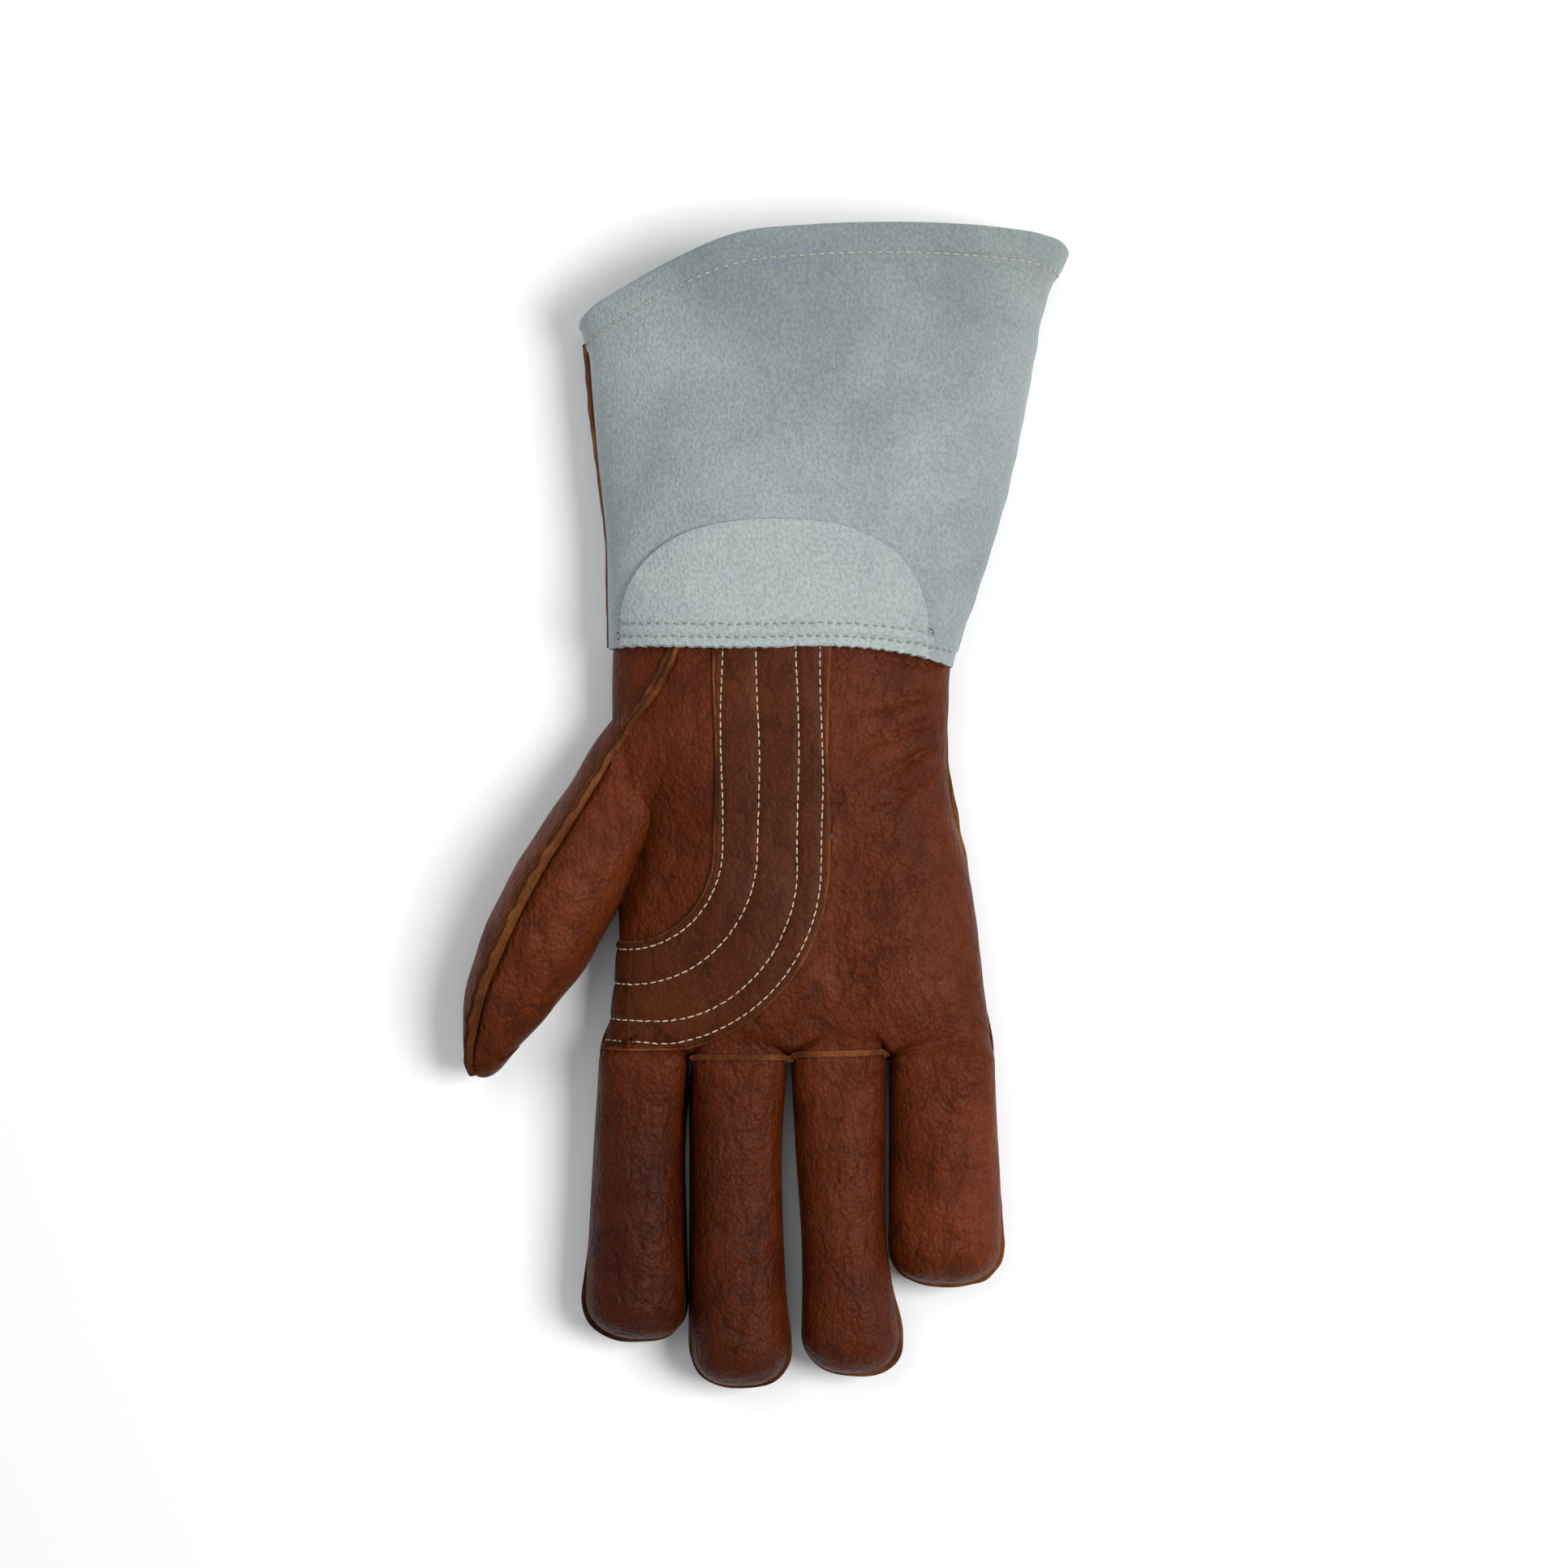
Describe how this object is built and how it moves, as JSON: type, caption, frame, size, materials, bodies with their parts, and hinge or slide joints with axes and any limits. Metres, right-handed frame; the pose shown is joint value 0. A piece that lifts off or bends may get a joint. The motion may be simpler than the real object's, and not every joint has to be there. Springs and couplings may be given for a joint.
{
  "type": "welding glove",
  "caption": "Right-hand gauntlet welding glove in grained brown leather with a flared suede cuff, stitched palm strip and curling fingers.",
  "frame": {"origin": "on the bench under the middle of the palm, at the back panel's flat outer face", "axes": "+X towards the little-finger side, +Y towards the cuff, +Z out of the palm; the fingers point to -Y"},
  "size_m": [0.1847, 0.3578, 0.0388],
  "materials": {
    "hand_leather": "fine-grained reddish-brown leather, satin",
    "strip_leather": "smooth reddish-brown leather, satin",
    "raw_edge": "raw cut edge, tan",
    "cuff_suede": "blue-grey split leather, napped, matt",
    "moon_suede": "pale grey-green split leather, napped, matt",
    "cream_thread": "cream twisted thread",
    "lining_cloth": "cream cotton fleece",
    "elastic": "off-white woven elastic"
  },
  "bodies": {
    "hand": {"palm_panel": "hand_leather", "back_panel": "hand_leather", "hand_lining": "lining_cloth", "palm_patch": "strip_leather", "patch_stitching": "cream_thread", "finger_base_welt": "raw_edge", "wrist_elastic": "elastic", "thumb_seam_upper": "raw_edge", "little_side_seam": "raw_edge"},
    "cuff": {"wrist_front": "hand_leather", "wrist_back": "hand_leather", "cuff_front": "cuff_suede", "cuff_back": "cuff_suede", "cuff_hem": "cuff_suede", "vein_patch": "moon_suede", "cuff_side_welt": "raw_edge", "cuff_outer_seam": "cuff_suede", "cuff_join_stitching": "cream_thread", "hem_stitching": "cream_thread"},
    "thumb": {"thumb_front": "hand_leather", "thumb_back": "hand_leather", "thumb_lining": "lining_cloth", "thumb_seam": "raw_edge"},
    "index_base": {"index_front_base": "hand_leather", "index_back_base": "hand_leather", "index_lining_base": "lining_cloth"},
    "index_tip": {"index_front_tip": "hand_leather", "index_back_tip": "hand_leather", "index_lining_tip": "lining_cloth", "index_tip_seam": "raw_edge"},
    "middle_base": {"middle_front_base": "hand_leather", "middle_back_base": "hand_leather", "middle_lining_base": "lining_cloth"},
    "middle_tip": {"middle_front_tip": "hand_leather", "middle_back_tip": "hand_leather", "middle_lining_tip": "lining_cloth", "middle_tip_seam": "raw_edge"},
    "ring_base": {"ring_front_base": "hand_leather", "ring_back_base": "hand_leather", "ring_lining_base": "lining_cloth"},
    "ring_tip": {"ring_front_tip": "hand_leather", "ring_back_tip": "hand_leather", "ring_lining_tip": "lining_cloth", "ring_tip_seam": "raw_edge"},
    "little_base": {"little_front_base": "hand_leather", "little_back_base": "hand_leather", "little_lining_base": "lining_cloth"},
    "little_tip": {"little_front_tip": "hand_leather", "little_back_tip": "hand_leather", "little_lining_tip": "lining_cloth", "little_tip_seam": "raw_edge"}
  },
  "joints": [
    {"name": "index_knuckle", "type": "hinge", "parent": "hand", "child": "index_base", "pos_m": [-0.0412, -0.062, 0.0265], "axis": [-1, 0, 0], "range_deg": [0, 70], "stiffness_Nm_per_rad": 0.03},
    {"name": "index_middle_bend", "type": "hinge", "parent": "index_base", "child": "index_tip", "pos_m": [-0.0412, -0.10352, 0.0265], "axis": [-1, 0, 0], "range_deg": [0, 70], "stiffness_Nm_per_rad": 0.02},
    {"name": "middle_knuckle", "type": "hinge", "parent": "hand", "child": "middle_base", "pos_m": [-0.0128, -0.062, 0.0265], "axis": [-1, 0, 0], "range_deg": [0, 70], "stiffness_Nm_per_rad": 0.03},
    {"name": "middle_middle_bend", "type": "hinge", "parent": "middle_base", "child": "middle_tip", "pos_m": [-0.0128, -0.11034, 0.0265], "axis": [-1, 0, 0], "range_deg": [0, 70], "stiffness_Nm_per_rad": 0.02},
    {"name": "ring_knuckle", "type": "hinge", "parent": "hand", "child": "ring_base", "pos_m": [0.0174, -0.062, 0.0265], "axis": [-1, 0, 0], "range_deg": [0, 70], "stiffness_Nm_per_rad": 0.03},
    {"name": "ring_middle_bend", "type": "hinge", "parent": "ring_base", "child": "ring_tip", "pos_m": [0.0174, -0.10856, 0.0265], "axis": [-1, 0, 0], "range_deg": [0, 70], "stiffness_Nm_per_rad": 0.02},
    {"name": "little_knuckle", "type": "hinge", "parent": "hand", "child": "little_base", "pos_m": [0.0489, -0.062, 0.0265], "axis": [-1, 0, 0], "range_deg": [0, 70], "stiffness_Nm_per_rad": 0.03},
    {"name": "little_middle_bend", "type": "hinge", "parent": "little_base", "child": "little_tip", "pos_m": [0.0489, -0.09546, 0.0265], "axis": [-1, 0, 0], "range_deg": [0, 70], "stiffness_Nm_per_rad": 0.02},
    {"name": "thumb_fold", "type": "hinge", "parent": "hand", "child": "thumb", "pos_m": [-0.052, 0.008, 0.03], "axis": [0, 1, 0], "range_deg": [0, 60], "stiffness_Nm_per_rad": 0.05},
    {"name": "wrist_bend", "type": "hinge", "parent": "hand", "child": "cuff", "pos_m": [0, 0.05, 0.016], "axis": [1, 0, 0], "range_deg": [-25, 25], "stiffness_Nm_per_rad": 0.3}
  ],
  "couplings": [
    {"joint": "index_middle_bend", "follows": "index_knuckle", "ratio": 1},
    {"joint": "middle_middle_bend", "follows": "middle_knuckle", "ratio": 1},
    {"joint": "ring_middle_bend", "follows": "ring_knuckle", "ratio": 1},
    {"joint": "little_middle_bend", "follows": "little_knuckle", "ratio": 1}
  ]
}
